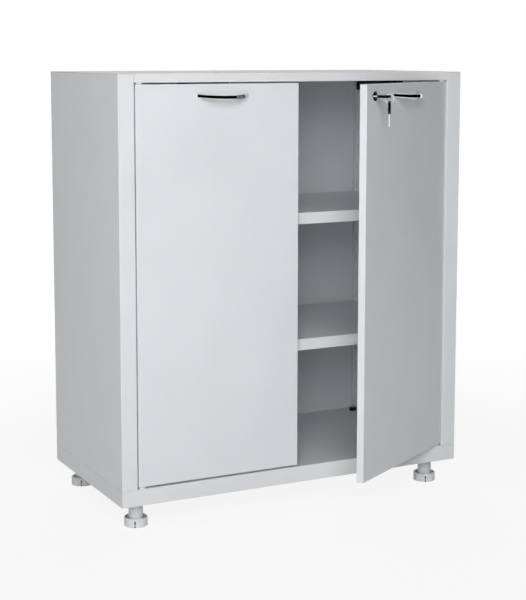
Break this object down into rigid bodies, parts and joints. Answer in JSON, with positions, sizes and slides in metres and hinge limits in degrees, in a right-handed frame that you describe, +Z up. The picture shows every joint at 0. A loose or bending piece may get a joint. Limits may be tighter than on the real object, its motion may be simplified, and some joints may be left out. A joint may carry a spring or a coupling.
{
  "type": "medicine cabinet",
  "caption": "Free-standing sheet-steel medicine cabinet with hinged doors, bow handles, a keyed cam lock, lift-off shelves and screw feet.",
  "frame": {"origin": "on the floor, at the middle of the whole object's box with the right door standing open as at rest", "axes": "+Z up, front of the cabinet towards -Y, +X to the right seen from the front"},
  "size_m": [0.8, 0.602, 0.922],
  "materials": {
    "painted_steel": "light grey powder coat, fine orange peel",
    "chrome": "bright chrome plate",
    "zinc_steel": "bright zinc plate",
    "dark_steel": "dark zinc plate",
    "key_steel": "nickel plate",
    "grey_plastic": "moulded light grey polypropylene",
    "white_plastic": "moulded natural nylon",
    "black_plastic": "moulded black plastic",
    "pad_rubber": "matt black rubber",
    "magnet": "ground ferrite"
  },
  "bodies": {
    "carcass": {"base_pan": "painted_steel", "left_side_panel": "painted_steel", "right_side_panel": "painted_steel", "back_panel": "painted_steel", "top_panel": "painted_steel", "top_rail": "painted_steel", "upright_front_left": "painted_steel", "upright_front_right": "painted_steel", "upright_rear_left": "painted_steel", "upright_rear_right": "painted_steel", "shelf_clips_lower": "zinc_steel", "shelf_clips_upper": "zinc_steel", "hinge_bushes": "white_plastic", "back_rivets": "zinc_steel", "catch_bodies": "black_plastic", "catch_magnets": "magnet", "foot_sleeves": "grey_plastic", "foot_nuts": "dark_steel"},
    "left_door": {"left_door_pan": "painted_steel", "left_door_liner": "painted_steel", "left_door_stiffener": "painted_steel", "left_handle": "chrome", "left_handle_screws": "zinc_steel", "left_hinge_pins": "zinc_steel"},
    "right_door": {"right_door_pan": "painted_steel", "right_door_liner": "painted_steel", "right_door_stiffener": "painted_steel", "right_handle": "chrome", "right_handle_screws": "zinc_steel", "right_hinge_pins": "zinc_steel", "lock_housing": "chrome", "lock_nut": "zinc_steel"},
    "lock_core": {"lock_plug": "chrome", "lock_cam": "zinc_steel", "cam_screw": "zinc_steel"},
    "key": {"key_blade": "key_steel", "key_head": "black_plastic"},
    "ring": {"key_ring": "key_steel"},
    "spare_key": {"spare_key_blade": "key_steel", "spare_key_head": "black_plastic"},
    "lower_shelf_body": {"lower_shelf": "painted_steel"},
    "upper_shelf_body": {"upper_shelf": "painted_steel"},
    "pad_front_left": {"foot_pad_front_left": "pad_rubber"},
    "cap_front_left": {"foot_cap_front_left": "grey_plastic", "foot_stud_front_left": "zinc_steel"},
    "pad_front_right": {"foot_pad_front_right": "pad_rubber"},
    "cap_front_right": {"foot_cap_front_right": "grey_plastic", "foot_stud_front_right": "zinc_steel"},
    "pad_rear_left": {"foot_pad_rear_left": "pad_rubber"},
    "cap_rear_left": {"foot_cap_rear_left": "grey_plastic", "foot_stud_rear_left": "zinc_steel"},
    "pad_rear_right": {"foot_pad_rear_right": "pad_rubber"},
    "cap_rear_right": {"foot_cap_rear_right": "grey_plastic", "foot_stud_rear_right": "zinc_steel"}
  },
  "joints": [
    {"name": "left_door_swing", "type": "hinge", "parent": "carcass", "child": "left_door", "pos_m": [-0.3535, -0.09316, 0], "axis": [0, 0, -1], "range_deg": [0, 105]},
    {"name": "right_door_swing", "type": "hinge", "parent": "carcass", "child": "right_door", "pos_m": [0.3535, -0.09316, 0], "axis": [0, 0, 1], "range_deg": [-30.6, 74.4]},
    {"name": "lock_turn", "type": "hinge", "parent": "right_door", "child": "lock_core", "pos_m": [0.08033, -0.26284, 0.877], "axis": [0.509, -0.8607, 0], "range_deg": [0, 90]},
    {"name": "key_pull", "type": "slide", "parent": "lock_core", "child": "key", "axis": [0.509, -0.8607, 0], "range_m": [0, 0.026]},
    {"name": "ring_swing", "type": "hinge", "parent": "key", "child": "ring", "pos_m": [0.09769, -0.2922, 0.877], "axis": [0.521, 0.8536, 0], "range_deg": [-25, 25]},
    {"name": "spare_key_swing", "type": "hinge", "parent": "ring", "child": "spare_key", "pos_m": [0.09769, -0.2922, 0.86426], "axis": [0.8536, -0.521, 0], "range_deg": [-30, 30]},
    {"name": "lower_shelf_lift", "type": "slide", "parent": "carcass", "child": "lower_shelf_body", "axis": [0, 0, 1], "range_m": [0, 0.04]},
    {"name": "upper_shelf_lift", "type": "slide", "parent": "carcass", "child": "upper_shelf_body", "axis": [0, 0, 1], "range_m": [0, 0.04]},
    {"name": "foot_raise_front_left", "type": "slide", "parent": "carcass", "child": "pad_front_left", "axis": [0, 0, 1], "range_m": [0, 0.0075]},
    {"name": "foot_turn_front_left", "type": "hinge", "parent": "pad_front_left", "child": "cap_front_left", "pos_m": [-0.352, -0.05216, 0], "axis": [0, 0, 1], "range_deg": [0, 1800]},
    {"name": "foot_raise_front_right", "type": "slide", "parent": "carcass", "child": "pad_front_right", "axis": [0, 0, 1], "range_m": [0, 0.0075]},
    {"name": "foot_turn_front_right", "type": "hinge", "parent": "pad_front_right", "child": "cap_front_right", "pos_m": [0.352, -0.05216, 0], "axis": [0, 0, 1], "range_deg": [0, 1800]},
    {"name": "foot_raise_rear_left", "type": "slide", "parent": "carcass", "child": "pad_rear_left", "axis": [0, 0, 1], "range_m": [0, 0.0075]},
    {"name": "foot_turn_rear_left", "type": "hinge", "parent": "pad_rear_left", "child": "cap_rear_left", "pos_m": [-0.352, 0.26684, 0], "axis": [0, 0, 1], "range_deg": [0, 1800]},
    {"name": "foot_raise_rear_right", "type": "slide", "parent": "carcass", "child": "pad_rear_right", "axis": [0, 0, 1], "range_m": [0, 0.0075]},
    {"name": "foot_turn_rear_right", "type": "hinge", "parent": "pad_rear_right", "child": "cap_rear_right", "pos_m": [0.352, 0.26684, 0], "axis": [0, 0, 1], "range_deg": [0, 1800]}
  ],
  "couplings": [
    {"joint": "foot_raise_front_left", "follows": "foot_turn_front_left", "m_per_rad": 0.00023873},
    {"joint": "foot_raise_front_right", "follows": "foot_turn_front_right", "m_per_rad": 0.00023873},
    {"joint": "foot_raise_rear_left", "follows": "foot_turn_rear_left", "m_per_rad": 0.00023873},
    {"joint": "foot_raise_rear_right", "follows": "foot_turn_rear_right", "m_per_rad": 0.00023873}
  ]
}
